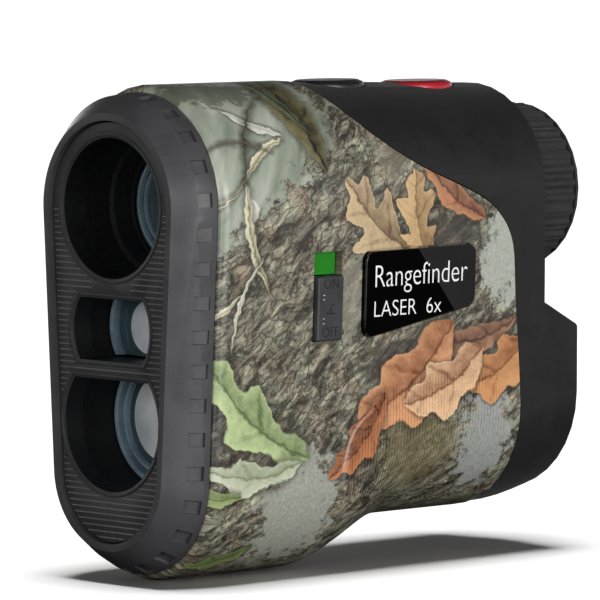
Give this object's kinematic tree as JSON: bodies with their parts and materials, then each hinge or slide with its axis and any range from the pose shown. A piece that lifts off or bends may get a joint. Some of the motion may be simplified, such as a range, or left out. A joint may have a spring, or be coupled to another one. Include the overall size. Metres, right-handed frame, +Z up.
{
  "type": "laser rangefinder",
  "caption": "Hand-held laser rangefinder with camouflage side covers, three front openings, a ribbed focusing eyepiece, top buttons, a sliding slope switch and a quarter-turn battery cap.",
  "frame": {"origin": "middle of the bounding box's base, under the body", "axes": "+Z up, +Y from the front openings to the eyepiece, +X towards the side with the slope switch"},
  "size_m": [0.0386, 0.0948, 0.08],
  "materials": {
    "bezel_black": "satin moulded",
    "plate_grey": "satin moulded",
    "camouflage": "woodland print under satin lacquer",
    "housing_black": "soft-touch",
    "rubber_black": "matt",
    "badge_black": "gloss",
    "button_red": "satin",
    "knob_grey": "satin",
    "mark_green": "printed",
    "mark_red": "printed",
    "coated_glass": "anti-reflection coated",
    "anodised_black": "black anodised",
    "board_green": "solder mask",
    "steel": "plain",
    "battery_wrap": "shrink sleeve"
  },
  "bodies": {
    "housing": {"front_bezel": "bezel_black", "face_plate": "plate_grey", "objective_cell": "anodised_black", "objective_ring": "anodised_black", "objective_lens": "coated_glass", "emitter_cell": "anodised_black", "emitter_lens": "coated_glass", "receiver_cell": "anodised_black", "receiver_lens": "coated_glass", "laser_diode": "steel", "receiver_detector": "steel", "left_cover": "camouflage", "right_cover": "camouflage", "cover_screw_1": "steel", "cover_screw_2": "steel", "cover_screw_3": "steel", "cover_screw_4": "steel", "rear_housing": "housing_black", "optical_chassis": "anodised_black", "prism_holder": "anodised_black", "front_prism": "coated_glass", "rear_prism": "coated_glass", "display_frame": "anodised_black", "display_panel": "coated_glass", "eyepiece_barrel": "anodised_black", "mode_switch": "steel", "measure_switch": "steel", "button_board": "board_green", "slope_base": "housing_black", "slope_mark_on": "mark_green", "slope_mark_off": "mark_red", "name_badge": "badge_black", "main_board": "board_green", "processor_shield": "steel", "capacitor": "battery_wrap", "battery_tube": "housing_black", "battery_stop": "housing_black", "battery_spring": "steel", "battery": "battery_wrap"},
    "measure_button": {"measure_button": "button_red"},
    "mode_button": {"mode_button": "rubber_black"},
    "slope_switch": {"slope_knob": "knob_grey", "slope_slider": "steel"},
    "diopter": {"diopter_ring": "rubber_black", "eyecup": "rubber_black"},
    "ocular": {"ocular_cell": "anodised_black", "field_lens": "coated_glass", "lens_spacer": "anodised_black", "ocular_lens": "coated_glass", "ocular_ring": "anodised_black"},
    "battery_cap": {"battery_cap": "housing_black", "cap_contact": "steel", "cap_seal": "rubber_black"},
    "cap_bail": {"cap_bail": "steel", "bail_pin": "steel"}
  },
  "joints": [
    {"name": "measure_button_press", "type": "slide", "parent": "housing", "child": "measure_button", "axis": [0, 0, -1], "range_m": [0, 0.0008], "stiffness_N_per_m": 1000, "springref_m": -0.0005},
    {"name": "mode_button_press", "type": "slide", "parent": "housing", "child": "mode_button", "axis": [0, 0, -1], "range_m": [0, 0.0008], "stiffness_N_per_m": 1000, "springref_m": -0.0005},
    {"name": "slope_switch_slide", "type": "slide", "parent": "housing", "child": "slope_switch", "axis": [0.0416, 0, 0.9991], "range_m": [0, 0.0038]},
    {"name": "diopter_turn", "type": "hinge", "parent": "housing", "child": "diopter", "pos_m": [0, 0.0405, 0.06048], "axis": [0, 1, 0], "range_deg": [-120, 120]},
    {"name": "ocular_slide", "type": "slide", "parent": "housing", "child": "ocular", "axis": [0, 1, 0], "range_m": [-0.001, 0.001]},
    {"name": "battery_cap_turn", "type": "hinge", "parent": "housing", "child": "battery_cap", "pos_m": [0, 0.04135, 0.02448], "axis": [0, 1, 0], "range_deg": [0, 90]},
    {"name": "cap_bail_fold", "type": "hinge", "parent": "battery_cap", "child": "cap_bail", "pos_m": [0, 0.04535, 0.02448], "axis": [1, 0, 0], "range_deg": [0, 90]}
  ],
  "couplings": [
    {"joint": "ocular_slide", "follows": "diopter_turn", "m_per_rad": 0.000477}
  ]
}
